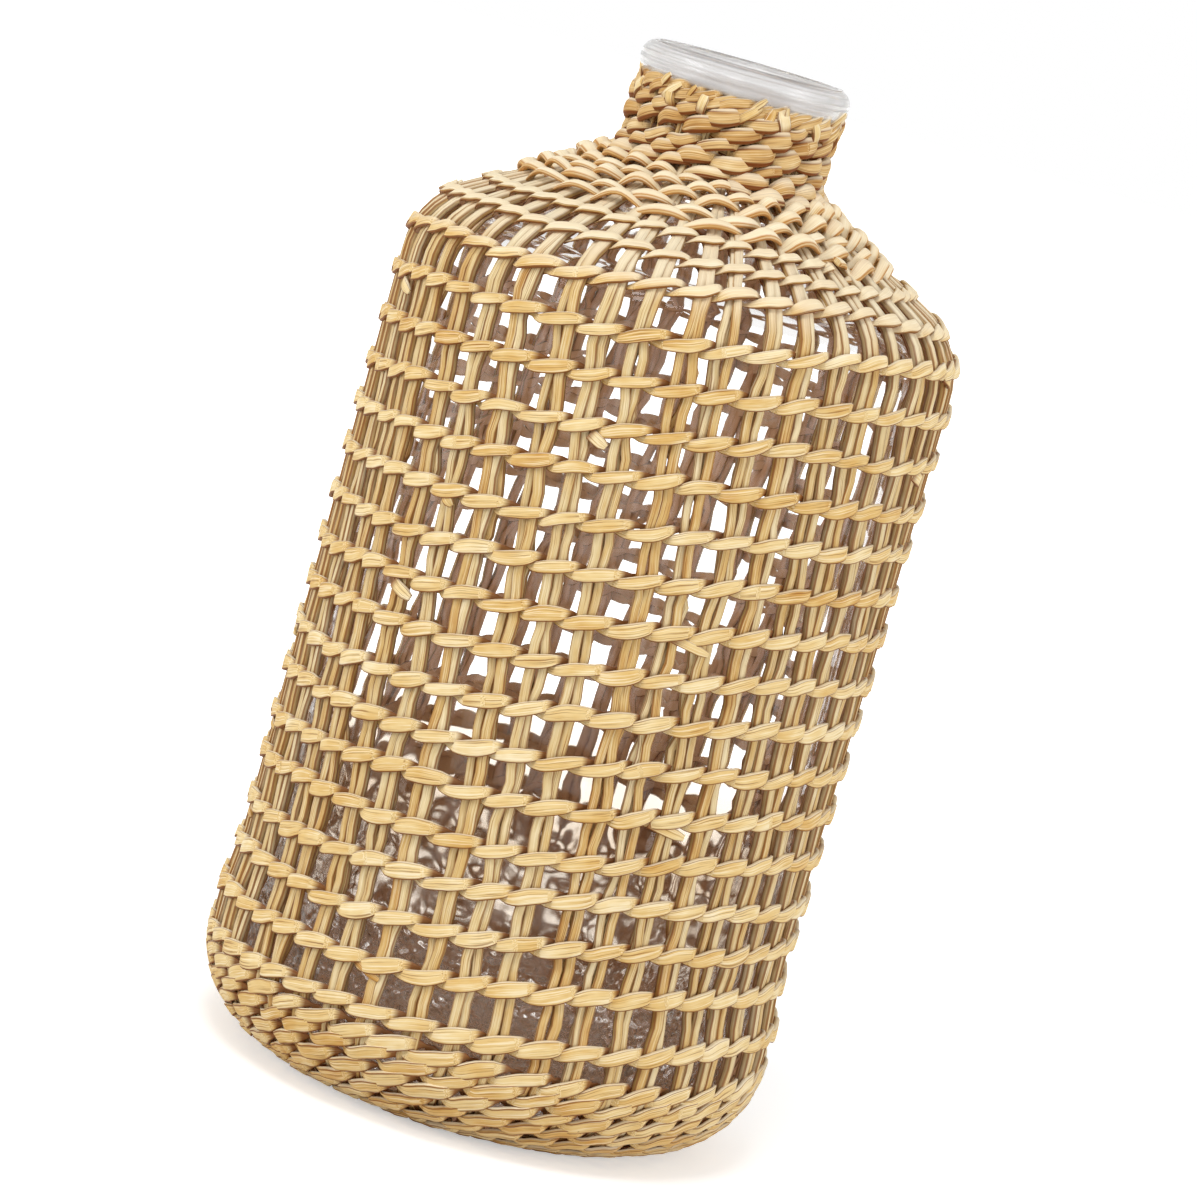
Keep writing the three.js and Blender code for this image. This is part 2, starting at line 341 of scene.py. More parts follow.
# %% [markdown]
# ## Drawing a straw along its path
# A flattened stem is about three millimetres wide and half as thick, with rounded edges. A path with a
# bevel would give it one width all along. Curve to Mesh also takes a scale, which narrows the straw where
# it dives between two stakes. Five numbers are stored on the straw for its finish: how far along the straw,
# how far across its face, how far outwards, a random tone, and how close a crossing is.

# %% The section of a straw
SECTION_SIDES = 10
STAKE_SIDES = 8
EDGE_ROUNDNESS = 1.5  # the edges are rounder than the faces by this factor


def store(recipe, geometry, name, value):
    """Keeps a number on every point, under a name that the finish can read."""
    inputs = {"Geometry": geometry, "Name": name, "Value": value}
    made = recipe.node("GeometryNodeStoreNamedAttribute", inputs, data_type="FLOAT", domain="POINT")
    return recipe.out(made, "Geometry")


def straw_section(recipe, width, thickness, sides, roundness=0.2):
    """A flattened round section: its first axis is the thickness, its second the width."""
    ring = {"Resolution": sides, "Radius": 1.0}
    circle = recipe.node("GeometryNodeCurvePrimitiveCircle", ring, mode="RADIUS")
    out, across, _ = recipe.split(recipe.out(recipe.node("GeometryNodeInputPosition")))
    section = store(recipe, recipe.out(circle, "Curve"), "across", across)
    section = store(recipe, section, "outer", out)

    def boxy(value, power):
        return recipe.math("SIGN", value) * recipe.math("POWER", recipe.math("ABSOLUTE", value), power)

    deep = boxy(out, roundness) * thickness * 0.5
    wide = boxy(across, roundness * EDGE_ROUNDNESS) * width * 0.5
    moved = {"Geometry": section, "Position": recipe.vector(deep, wide, 0.0)}
    return recipe.out(recipe.node("GeometryNodeSetPosition", moved), "Geometry")


print("a straw section has", SECTION_SIDES, "sides, and a stake's has", STAKE_SIDES)


# %% The straw along its path
def draw_straw(recipe, path, point, outwards, section, scale, finish, marks):
    """Moves a path to its place, gives it a face that looks outwards and draws the section along it."""
    placed = recipe.out(recipe.node("GeometryNodeSetPosition", {"Geometry": path, "Position": point}))
    faced = recipe.node("GeometryNodeSetCurveNormal", {"Curve": placed, "Normal": outwards}, mode="FREE")
    marked = recipe.out(faced)
    for name, value in marks.items():
        marked = store(recipe, marked, name, value)
    straw = recipe.node("GeometryNodeCurveToMesh",
                        {"Curve": marked, "Profile Curve": section, "Scale": scale, "Fill Caps": True})
    smooth = recipe.node("GeometryNodeSetShadeSmooth", {"Geometry": recipe.out(straw)})
    real = recipe.node("GeometryNodeRealizeInstances", {"Geometry": recipe.out(smooth)})
    finished = recipe.node("GeometryNodeSetMaterial", {"Geometry": recipe.out(real), "Material": finish})
    return recipe.out(finished)


def numbered_lines(recipe, count, steps):
    """Several straight lines of so many steps, the number of each one, and the share of the way along it."""
    straight = recipe.out(recipe.node("GeometryNodeCurvePrimitiveLine"))
    stem = recipe.node("GeometryNodeResampleCurve", {"Curve": straight, "Count": steps + 1.0}, mode="COUNT")
    points = recipe.out(recipe.node("GeometryNodePoints", {"Count": count}))
    copies = recipe.node("GeometryNodeInstanceOnPoints", {"Points": points, "Instance": recipe.out(stem)})
    lines = recipe.out(recipe.node("GeometryNodeRealizeInstances", {"Geometry": recipe.out(copies)}))
    which = recipe.out(recipe.node("GeometryNodeCurveOfPoint"), "Curve Index")
    share = recipe.out(recipe.node("GeometryNodeSplineParameter"), "Index") / steps
    return lines, which, share


print("each straw ends in Realize Instances and Set Material")

# %% [markdown]
# ## From a tree to a piece
# A Geometry Nodes modifier goes on working for as long as it sits on an object. A finished piece is better
# as a plain mesh, which any other tool can read. So each tree runs once on an empty object, its result is
# kept as the mesh, and the modifier is taken away. A tree's sizes are named inputs, so one tree serves
# several pieces.

# %% A new tree with named inputs
GIVEN_KINDS = {"Outline": "NodeSocketObject", "Finish": "NodeSocketMaterial"}


def new_tree(name, sizes, counts, given=("Outline", "Finish")):
    """A Geometry Nodes tree with named inputs, as a recipe, its fields by name and its output node."""
    kinds = {label: GIVEN_KINDS[label] for label in given}
    kinds.update(dict.fromkeys(sizes, "NodeSocketFloat"))
    kinds.update(dict.fromkeys(counts, "NodeSocketInt"))
    tree = bpy.data.node_groups.new(name, "GeometryNodeTree")
    for label, kind in kinds.items():
        tree.interface.new_socket(name=label, in_out="INPUT", socket_type=kind)
    tree.interface.new_socket(name="Geometry", in_out="OUTPUT", socket_type="NodeSocketGeometry")
    recipe = Recipe(tree)
    entry = recipe.node("NodeGroupInput")
    return recipe, {label: recipe.out(entry, label) for label in kinds}, recipe.node("NodeGroupOutput")


print("a tree's inputs can be sizes, counts,", " and ".join(GIVEN_KINDS))


# %% Grow a tree into a plain mesh
def grow(name, tree, values):
    """Runs a tree on an empty object, keeps the result as a plain mesh and takes the modifier away."""
    piece = bpy.data.objects.new(name, bpy.data.meshes.new(name))
    bpy.context.scene.collection.objects.link(piece)
    modifier = piece.modifiers.new(name, "NODES")
    modifier.node_group = tree
    identifiers = {i.name: i.identifier for i in tree.interface.items_tree if i.in_out == "INPUT"}
    for label, value in values.items():
        modifier[identifiers[label]] = value
    bpy.context.view_layer.update()
    evaluated = piece.evaluated_get(bpy.context.evaluated_depsgraph_get())
    mesh = bpy.data.meshes.new_from_object(evaluated)
    piece.modifiers.remove(modifier)
    piece.data = mesh
    mesh.name = name
    print("%s: %d faces" % (name, len(mesh.polygons)))
    return piece


def join(name, parts):
    """Several grown straws as one piece."""
    with bpy.context.temp_override(active_object=parts[0], selected_editable_objects=parts):
        bpy.ops.object.join()
    parts[0].name = name
    print("%s: %d faces in all" % (name, len(parts[0].data.polygons)))
    return parts[0]


pieces = []  # each with its material slot and the CAD nodes that it replaces
print("pieces so far", len(pieces))

# %% [markdown]
# ## Twining: one strand of a row
# Two strands make a row. Each goes in front of a stake, then behind the next, and the partner does the
# opposite, so that they cross between the stakes. Seen from the front each pass is a slanted leaf. With n
# counting the stakes passed, the distance off the stakes follows cos(pi * n) and the height sin(pi * n),
# and that is the whole rule. It could be modelled pass by pass, but one rule lets every row differ a little,
# as hand work does.

# %% The twist of a strand
LEAF_END = 0.73  # share of the way from front to back at which the leaf in front has narrowed to nothing
BEHIND_WIDTH = 0.7  # width behind a stake, as a share of the leaf's
SLANT_EASE = 0.36  # the slant is gentler by this share in front of a stake, and steeper by it behind one


def twist(recipe, angle, taper):
    """Nodes for how far in front the strand is, how far up, how far from the front, and how wide."""
    front = recipe.math("COSINE", angle)
    rise = recipe.math("SINE", angle)
    apart = recipe.math("ARCCOSINE", front) / math.pi  # 0 in front of an upright, 1 behind one
    open_face = recipe.math("COSINE", apart * (math.pi / (2 * LEAF_END)))
    face = recipe.math("POWER", recipe.most(open_face, 0.0), taper)
    behind = recipe.math("SINE", (apart - LEAF_END) * (math.pi / (2 * (1 - LEAF_END)))) * BEHIND_WIDTH
    return front, rise, apart, recipe.most(face, behind)


print("a leaf narrows to nothing at", LEAF_END, "of the way behind the stake")

# %% The twined strand as a tree
STRAND_SIZES = ("Start", "Middle", "End", "Middle Share", "Turns", "Uprights", "First Upright", "Phase",
                "Lift", "End Lift", "Reach", "Rise", "Width", "End Width", "Thickness", "Waist", "Taper",
                "Wobble", "Unevenness", "Flatness", "Roundness", "Swoop")
PASS_LENGTH = 9 * mm  # straw that one pass takes
STEM_PASSES = 18.0  # passes before the next stem is joined on
SEED_STEP = 7.31  # keeps the noise of two strands apart


def build_strand_tree():
    recipe, ask, result = new_tree("twined strand", STRAND_SIZES, ("Seed", "Steps"))
    passes = ask["Turns"] * ask["Uprights"]
    straight = recipe.out(recipe.node("GeometryNodeCurvePrimitiveLine"))
    path = recipe.node("GeometryNodeResampleCurve", {"Curve": straight, "Count": passes * ask["Steps"] + 1.0},
                       mode="COUNT")
    n = recipe.out(recipe.node("GeometryNodeSplineParameter"), "Index") / ask["Steps"]
    share = n / passes
    nearest = recipe.math("FLOOR", n + 0.5)

    def noise(speed, shift):
        place = n * speed + ask["Seed"] * SEED_STEP + shift
        inputs = {"W": place, "Scale": 1.0, "Detail": 1.0}
        return recipe.out(recipe.node("ShaderNodeTexNoise", inputs, noise_dimensions="1D")) - 0.5

    def chance(shift, low, high):
        return recipe.chance(nearest, ask["Seed"] + shift, low, high)

    front, rise, apart, leaf = twist(recipe, (n + ask["Phase"]) * math.pi, ask["Taper"])
    held = recipe.most(front, 0.0)
    uneven = ask["Unevenness"]
    turn = upright_angle(recipe, n + ask["First Upright"], ask["Uprights"])

    below = recipe.math("MINIMUM", share / ask["Middle Share"], 1.0)
    above = recipe.most((share - ask["Middle Share"]) / (1.0 - ask["Middle Share"]), 0.0)
    row = ask["Start"] + (ask["Middle"] - ask["Start"]) * below + (ask["End"] - ask["Middle"]) * above
    away_from_ends = recipe.ramp(share, 0.0, 0.1) * recipe.ramp(share, 1.0, 0.9)
    swoop = swoop_share(recipe, turn) * ask["Swoop"] * away_from_ends
    wander = (noise(0.12, 0.0) * 2.0 + noise(0.5, 20.0) * 0.8) * ask["Wobble"]
    slant = (rise - rise * front * SLANT_EASE) * (1.0 + noise(0.9, 40.0) * uneven)
    tilt = held * chance(3, -0.4, 0.4) * uneven
    length = row + swoop + wander + (slant + tilt) * ask["Rise"]

    bulge = (front + ask["Flatness"] * rise * rise) * (1.0 + chance(5, -0.1, 0.3) * uneven * held)
    lift = ask["Lift"] + (ask["End Lift"] - ask["Lift"]) * share + bulge * ask["Reach"]
    point, outwards = on_jacket(recipe, ask["Outline"], length, turn, lift)

    widen = 1.0 + (ask["End Width"] / ask["Width"] - 1.0) * share
    full = leaf * (1.0 + chance(1, -0.3, 0.2) * uneven)
    scale = (ask["Waist"] + (1.0 - ask["Waist"]) * full) * widen
    stem_tone = recipe.chance(recipe.math("FLOOR", n / STEM_PASSES), ask["Seed"])
    # painted shade, partly a real bend: darker where the strand dives behind a stake, most at the upper end
    # of each leaf
    bend_and_shade = recipe.ramp(apart + rise * 0.12, 0.64, 0.74) * recipe.ramp(rise, -0.4, 0.4, 0.3, 1.0)
    marks = {"along": n * PASS_LENGTH, "tone": stem_tone * 0.5 + chance(2, 0.0, 0.5), "crossing": bend_and_shade}
    section = straw_section(recipe, ask["Width"], ask["Thickness"], SECTION_SIDES, ask["Roundness"])
    strand = draw_straw(recipe, recipe.out(path), point, outwards, section, scale, ask["Finish"], marks)
    recipe.feed(result, {0: strand})
    return recipe.tree


strand_tree = build_strand_tree()
print("nodes in the twined strand", len(strand_tree.nodes))

# %% [markdown]
# ## Short straws
# A worker joins straws by tucking the end of one beside the next, and some ends stay in sight. The stakes
# also end in short folds under the lip. They could be set by hand one at a time, but there are dozens of
# them. One tree numbers a few short lines, spreads them round the bottle or along a climbing row, and gives
# each its own length, slant and bulge.

# %% Short straws as a tree
END_SIZES = ("From", "To", "Slant", "Lift", "Bulge", "Lean", "Width", "Thickness", "Climb", "Turns",
             "First Turn", "Swoop")
END_LENGTH = 8 * mm
STEM_SHIFT = 0.37  # moves the fibres of one stem away from the next one's


def build_end_tree():
    recipe, ask, result = new_tree("short straws", END_SIZES, ("Count", "Seed", "Steps"))
    lines, which, share = numbered_lines(recipe, ask["Count"], ask["Steps"])

    def chance(shift, low, high):
        return recipe.chance(which, ask["Seed"] + shift, low, high)

    climbed = (which + chance(3, 0.1, 0.9)) / ask["Count"]
    turn = (climbed * ask["Turns"] + ask["First Turn"]) * (2 * math.pi) + FRONT
    root = ask["From"] + climbed * ask["Climb"] + swoop_share(recipe, turn) * ask["Swoop"]
    root = root + chance(1, -1 * mm, 1 * mm)
    length = root + (ask["To"] - ask["From"]) * chance(2, 0.6, 1.0) * share
    slanted = turn + ask["Slant"] * chance(4, -0.4, 1.0) * share
    lift = ask["Lift"] + ask["Bulge"] * recipe.math("SINE", share * (0.9 * math.pi)) + ask["Lean"] * share
    point, outwards = on_jacket(recipe, ask["Outline"], length, slanted, lift)
    scale = chance(5, 0.7, 1.15) * recipe.ramp(share, 0.7, 1.05, 1.0, 0.55)
    # the root of each short straw, where it goes in under the row, takes the same painted shade as a crossing
    marks = {"along": share * END_LENGTH + which * STEM_SHIFT, "tone": chance(6, 0.0, 1.0),
             "crossing": recipe.ramp(share, 0.35, 0.0)}
    section = straw_section(recipe, ask["Width"], ask["Thickness"], SECTION_SIDES)
    straws = draw_straw(recipe, lines, point, outwards, section, scale, ask["Finish"], marks)
    recipe.feed(result, {0: straws})
    return recipe.tree


end_tree = build_end_tree()
print("nodes in the short straws", len(end_tree.nodes))

# %% [markdown]
# ## The straw finish
# Dried straw is pale gold with fine lines along its length. Each stem has its own tone, some nearly cream
# and some orange. Its edges are darker brown, partly its own colour and partly painted shade, which is
# strongest on edges that face down and weakest on those that face up. Where a strand dives behind a stake it
# is painted darker, partly a real bend and partly painted shade. Faces that look up are painted paler, a
# painted highlight from the lamps above, and the inner side of each straw takes a colour that paints the
# shade and light of the far wall seen through the glass. A noise over the whole jacket would run across the
# straws, so the finish reads the five numbers that were stored on each straw, and its fibres follow every
# bend. They also raise the surface a little, which breaks up the shine.


# %% Colours and a new material
def hexed(code):
    """A colour written as six hexadecimal digits, in linear light as shaders want it."""
    channels = [int(code[i:i + 2], 16) / 255 for i in (0, 2, 4)]
    return tuple(c / 12.92 if c <= 0.04045 else ((c + 0.055) / 1.055) ** 2.4 for c in channels) + (1.0,)


def new_material(name):
    """A material, the recipe of its nodes and its Principled shader."""
    material = bpy.data.materials.new(name)
    material.use_nodes = True
    return material, Recipe(material.node_tree), material.node_tree.nodes["Principled BSDF"]


def tone_ramp(recipe, value, tones):
    """A colour from a row of tones, from dark at 0 to pale at 1."""
    ramp = recipe.node("ShaderNodeValToRGB", {"Fac": value})
    stops = ramp.color_ramp.elements
    while len(stops) < len(tones):
        stops.new(0.5)
    for i, (stop, code) in enumerate(zip(stops, tones)):
        stop.position = i / (len(tones) - 1)
        stop.color = hexed(code)
    return recipe.out(ramp)


print("white in linear light", hexed("ffffff"))

# %% The straw finish as a material
STORED = ("along", "across", "outer", "tone", "crossing")
FIBRE_SCALES = (70.0, 8.0, 50.0)  # along the straw, across it and from stem to stem
PATCH_SCALES = (160.0, 0.7, 90.0)
# a painted highlight colour for faces that look up to the lamps
PAINTED_TOP_LIGHT = "f6ead0"  # where a straw looks up


def straw_finish(name, tones, edge, fold_and_shade, inner, fibre_contrast, edge_share):
    """Straw in a row of tones, with darker edges that are partly its own colour and partly painted shade,
    painted shade where it dives behind a stake, a painted highlight where it looks up and painted shade and
    light on its back.
    """
    material, recipe, shader = new_material(name)
    along, across, outer, tone, crossing = [
        recipe.out(recipe.node("ShaderNodeAttribute", attribute_name=stored), "Fac") for stored in STORED]

    def streaks(scales, detail):
        place = recipe.vector(along * scales[0], across * scales[1], tone * scales[2])
        return recipe.noise(place, detail=detail)

    fibres = streaks(FIBRE_SCALES, 3.0)
    patches = streaks(PATCH_SCALES, 2.0)
    base = tone_ramp(recipe, tone * 0.55 + patches * 0.8 + fibres * 0.5 - 0.42, tones)

    edge_of_face = recipe.math("ABSOLUTE", across)
    upwards = recipe.split(recipe.out(recipe.node("ShaderNodeTexCoord"), "Normal"))[2]
    facing_up = recipe.ramp(upwards, 0.25, 0.8)
    # partly painted shade and partly the straw's own browner edge: a dark band along both edges of the face,
    # weaker where the face looks up to the lamps
    band = recipe.ramp(edge_of_face, 0.54, 0.7) * recipe.ramp(edge_of_face, 0.8, 0.93, 1.0, 0.3)
    rim = band * (1.0 - facing_up * 0.85) * (0.8 + fibres * 0.4) * edge_share
    # painted shade under each straw: edges that face down take the dark edge colour
    under = recipe.ramp(upwards, 0.0, -0.4) * recipe.ramp(edge_of_face, 0.44, 0.62) * 0.9
    lines = recipe.ramp(fibres, 0.44, 0.30) * fibre_contrast
    crown = recipe.ramp(fibres, 0.52, 0.66) * 0.6
    # painted shade and light: faces turned in towards the glass take the back colour, which sets how dark and
    # warm the far wall looks through the glass
    back = recipe.ramp(outer, -0.33, -0.8) * 0.8

    colour = recipe.mix(crown, base, hexed(tones[-1]))
    colour = recipe.mix(recipe.most(rim, under, lines), colour, hexed(edge))
    # painted highlight: faces that look up are paled, as the lamps above would light them
    colour = recipe.mix(facing_up * 0.6, colour, hexed(PAINTED_TOP_LIGHT))
    # painted shade where the strand dives behind a stake, partly a real bend
    colour = recipe.mix(crossing * 0.85, colour, hexed(fold_and_shade))
    colour = recipe.mix(back, colour, hexed(inner))
    bump = recipe.node("ShaderNodeBump", {"Height": fibres, "Strength": 0.35, "Distance": 0.25 * mm})
    recipe.feed(shader, {"Base Color": colour, "Roughness": 0.5 + fibres * 0.3, "Normal": recipe.out(bump),
                         "Specular IOR Level": 0.25})
    return material


weave_straw = straw_finish(
    "weave_straw", ["c08a3c", "d6b06a", "e4ca92", "f2e4c4"],
    edge="763c08", fold_and_shade="783c0c", inner="f0c29c", fibre_contrast=0.65, edge_share=1.0)
stake_straw = straw_finish(
    "stake_straw", ["b98846", "cdaa6a", "d6bf8e", "ead9b2"],
    edge="80440d", fold_and_shade="7a3c0e", inner="ecba96", fibre_contrast=0.75, edge_share=0.8)
neck_straw = straw_finish(
    "neck_straw", ["a87436", "c09454", "d6b47a", "eddab0"],
    edge="74390a", fold_and_shade="4e2004", inner="b4854a", fibre_contrast=0.75, edge_share=1.0)
arch_straw = straw_finish(
    "arch_straw", ["c8964c", "dcba7a", "ead6a8", "f6ecd4"],
    edge="b57c3c", fold_and_shade="6e350c", inner="c09a5c", fibre_contrast=0.6, edge_share=1.0)
print("straw finishes", weave_straw.name, stake_straw.name, neck_straw.name, arch_straw.name)

# %% [markdown]
# ## The open rows
# Two pairs of strands climb the body side by side, like the two threads of a screw, so that a row rises by
# two pitches in one turn. To the right of the front the rows swoop up a little, as the hand pulled them. A
# ring for each row would be simpler, but rings have no beginning and the real rows climb. Each strand
# stands for the six straws that the CAD model joins end to end, and the ends that were tucked in beside a
# row belong to the first strand.

# %% Where the open rows run
OPEN_FOOT = length_where(lambda r, z: z >= 24.5 * mm)
OPEN_BEND = body_end + 8 * mm  # rows close up from here
OPEN_TOP = length_where(lambda r, z: z > body_top and r <= 45.5 * mm)
BODY_PITCH = 11.1 * mm
SHOULDER_PITCH = 10.3 * mm
ROW_START = 12.0  # upright where the first pair leaves the foot band
body_rows = (OPEN_BEND - OPEN_FOOT) / BODY_PITCH
shoulder_rows = (OPEN_TOP - OPEN_BEND) / SHOULDER_PITCH
open_rows = body_rows + shoulder_rows
row_turn = (ROW_START + 0.5) / UPRIGHTS  # the same start as a share of a turn
print("rows on the body %.1f, with the shoulder %.1f" % (body_rows, open_rows))

# %% Weave the open rows
ROW_SEED = 11
STRAND_DEFAULTS = {
    "Outline": jacket_outline, "Uprights": float(UPRIGHTS), "Lift": 0.6 * mm, "End Lift": 0.6 * mm,
    "Reach": 1.6 * mm, "Rise": 1.1 * mm, "Thickness": 1.3 * mm, "Waist": 0.3, "Taper": 0.75,
    "Wobble": 2.0 * mm, "Unevenness": 0.8, "Flatness": 0.7, "Roundness": 0.22, "Swoop": 0.0, "Steps": 8,
}


def twine(name, finish, lengths, rows, sizes):
    """One strand through three lengths on the outline. rows counts the rows of both pairs together, first up
    to the middle length and then above it."""
    start, middle, end = lengths
    values = {**STRAND_DEFAULTS, "Finish": finish, "Start": start, "Middle": middle, "End": end,
              "Middle Share": rows[0] / sum(rows), "Turns": sum(rows) / 2, **sizes}
    values.setdefault("End Width", values["Width"])
    return grow(name, strand_tree, values)


tucked_ends = grow("tucked_ends", end_tree, {
    "Outline": jacket_outline, "Finish": weave_straw, "Count": 19, "From": OPEN_FOOT - 1.5 * mm,
    "To": OPEN_FOOT - 4.5 * mm, "Slant": math.radians(8), "Lift": 1.5 * mm, "Bulge": 0.7 * mm, "Lean": 0.0,
    "Width": 2.7 * mm, "Thickness": 0.8 * mm, "Climb": OPEN_BEND - OPEN_FOOT, "Turns": body_rows / 2,
    "First Turn": row_turn, "Swoop": SWOOP, "Seed": 21, "Steps": 8})
for pair in range(2):
    for strand, letter in enumerate("ab"):
        name = "weaver_%d%s" % (pair + 1, letter)
        weaver = twine(name, weave_straw, (OPEN_FOOT, OPEN_BEND, OPEN_TOP), (body_rows, shoulder_rows), {
            "First Upright": ROW_START + pair * UPRIGHTS / 2, "Phase": float(strand), "Seed": ROW_SEED + pair,
            "Width": 4.1 * mm, "End Width": 3.0 * mm, "Swoop": SWOOP})
        if not pieces:
            weaver = join(name, [weaver, tucked_ends])
        pieces.append((weaver, "straw_weave", ["%s_%02d" % (name, i) for i in range(1, 7)]))

# %% [markdown]
# ## The stakes
# Each upright is two flat stems side by side with a thinner one behind them, held by every row. Between
# rows they spread or lean a little, and no two are the same width. An Array modifier would repeat one
# upright without any difference. A tree makes them all at once instead: it repeats a line, numbers the
# copies and gives each its own place round the bottle. Towards the neck the stems crowd together and grow
# narrower.

# %% The stakes as a tree
STAKE_SIZES = ("From", "To", "Lift", "Spread", "Width", "Thickness", "Sway")
STAKE_NOISE_STEP = 7.77  # keeps the noise of two stems apart
CLOSING = (body_end - 4 * mm, OPEN_TOP - 8 * mm)  # an upright's stems draw together between these
CROWDING = (OPEN_TOP - 6 * mm, jacket_top - 10 * mm)  # and grow narrower between these


def build_stake_tree():
    recipe, ask, result = new_tree("stakes", STAKE_SIZES, ("Uprights", "Stems", "Seed", "Steps"))
    lines, which, share = numbered_lines(recipe, ask["Uprights"] * ask["Stems"], ask["Steps"])
    upright = recipe.math("FLOOR", (which + 0.5) / ask["Stems"])
    side = which - upright * ask["Stems"] - (ask["Stems"] - 1.0) * 0.5
    length = ask["From"] + (ask["To"] - ask["From"]) * share

    def chance(owner, shift, low, high):
        return recipe.chance(owner, ask["Seed"] + shift, low, high)

    def sway(owner, speed, shift):
        place = recipe.vector(length * speed, owner * STAKE_NOISE_STEP, shift)
        return (recipe.noise(place) - 0.5) * 3.0 * ask["Sway"]

    crowd = recipe.ramp(length, *CROWDING, 1.0, 0.45)
    close = recipe.ramp(length, *CLOSING, 1.0, 0.5) * crowd
    spread = side * ask["Spread"] * chance(upright, 1, 0.7, 1.2)
    sideways = (spread + sway(which, 80.0, 0.0) + sway(upright, 22.0, 30.0)) * close
    lift = ask["Lift"] + side * chance(upright, 4, -0.35, 0.35) * ask["Thickness"]
    turn = upright_angle(recipe, upright, ask["Uprights"])
    point, outwards = on_jacket(recipe, ask["Outline"], length, turn, lift, sideways)
    scale = chance(which, 2, 0.8, 1.2) * crowd
    marks = {"along": length + which * STEM_SHIFT, "tone": chance(which, 3, 0.0, 1.0), "crossing": 0.0}
    section = straw_section(recipe, ask["Width"], ask["Thickness"], STAKE_SIDES)
    stems = draw_straw(recipe, lines, point, outwards, section, scale, ask["Finish"], marks)
    recipe.feed(result, {0: stems})
    return recipe.tree


stake_tree = build_stake_tree()
print("nodes in the stakes", len(stake_tree.nodes))

# %% Set the stakes
stake_sizes = {
    "Outline": jacket_outline, "Finish": stake_straw, "Uprights": UPRIGHTS, "Stems": 2, "From": 30 * mm,
    "To": jacket_top, "Lift": 0.6 * mm, "Spread": 2.25 * mm, "Width": 2.35 * mm, "Thickness": 1.7 * mm,
    "Sway": 1.25 * mm, "Seed": 4, "Steps": 90}
thin_sizes = {**stake_sizes, "Stems": 1, "Lift": -0.5 * mm, "Width": 1.9 * mm, "Thickness": 1.2 * mm,
              "Sway": 3.1 * mm, "Seed": 9}
stakes = grow("stakes", stake_tree, stake_sizes)
thin_stems = grow("thin_stems", stake_tree, thin_sizes)
stakes = join("stakes", [stakes, thin_stems])
pieces.append((stakes, "straw_stake", ["stake_%02d" % i for i in range(1, 25)]))

# %% [markdown]
# ## The close weave at the foot and under the floor
# The work starts under the floor and winds outwards and up round the foot, with rows beaten close together.
# A flat disc with a woven texture would do from afar, but its edge would be smooth. It is the same twining
# with a smaller pitch, so the same tree makes it. Fewer groups of stakes are taken near the centre, because
# the stakes crowd there.


# %% Weave the foot
BAND_SEED = 31


def twine_band(name, finish, lengths, rows, uprights, first_turn, sizes):
    """Two pairs of strands that climb together, as one piece. first_turn is where they begin."""
    parts = []
    for pair in range(2):
        for strand in range(2):
            own = {"First Upright": (first_turn + pair * 0.5) * uprights - 0.5, "Phase": float(strand),
                   "Uprights": uprights, "Seed": BAND_SEED + pair}
            parts.append(twine("%s_%d%d" % (name, pair, strand), finish, lengths, rows, {**own, **sizes}))
    return join(name, parts)


FOOT_ROWS = (6.0, 2.0)
FOOT_GROUPS = 43.0  # groups of stakes that the rows pass in one turn
foot_start = floor_edge - 2 * mm
foot_bend = length_where(lambda r, z: z >= 17 * mm)
foot_turn = row_turn - sum(FOOT_ROWS) / 2  # so that the band ends where the open rows begin
foot_lengths = (foot_start, foot_bend, OPEN_FOOT)
foot_weave = twine_band("foot_weave", weave_straw, foot_lengths, FOOT_ROWS, FOOT_GROUPS, foot_turn, {
    "Lift": 2.0 * mm, "End Lift": 0.5 * mm, "Reach": 1.3 * mm, "Rise": 1.6 * mm, "Width": 4.1 * mm,
    "End Width": 4.0 * mm, "Wobble": 0.7 * mm, "Waist": 0.2, "Taper": 0.45, "Flatness": 0.95,
    "Thickness": 1.1 * mm})
pieces.append((foot_weave, "straw_weave", ["foot_band"]))

# %% Weave the mat under the floor
MAT_ROWS = (3.0, 3.0)
INNER_GROUPS = 15.5
OUTER_GROUPS = 31.5
mat_bend = length_where(lambda r, z: r >= 26 * mm)
mat_sizes = {"Lift": 1.8 * mm, "End Lift": 1.8 * mm, "Reach": 1.5 * mm, "Rise": 0.9 * mm, "Width": 3.8 * mm,
             "Wobble": 0.3 * mm}
inner_lengths = (8 * mm, 17 * mm, mat_bend)
outer_lengths = (mat_bend, 35 * mm, foot_start)
mat_inner = twine_band("mat_inner", weave_straw, inner_lengths, MAT_ROWS, INNER_GROUPS, row_turn, mat_sizes)
mat_outer = twine_band("mat_outer", weave_straw, outer_lengths, MAT_ROWS, OUTER_GROUPS, row_turn, mat_sizes)
print("the mat's inner rows end", round(mat_bend / mm, 1), "mm along the outline")

# %% [markdown]
# ## The cross at the centre of the floor
# The whole work starts from a few straws that cross under the middle of the floor, over and under each
# other. A checked texture would look flat from below. Like the stakes, the straws are numbered lines: every
# second one lies crosswise, and a cosine lifts and lowers each one so that the two layers take turns.

# %% The floor cross as a tree
CROSS_SIZES = ("Spacing", "Length", "Height", "Weave", "Width", "Thickness")


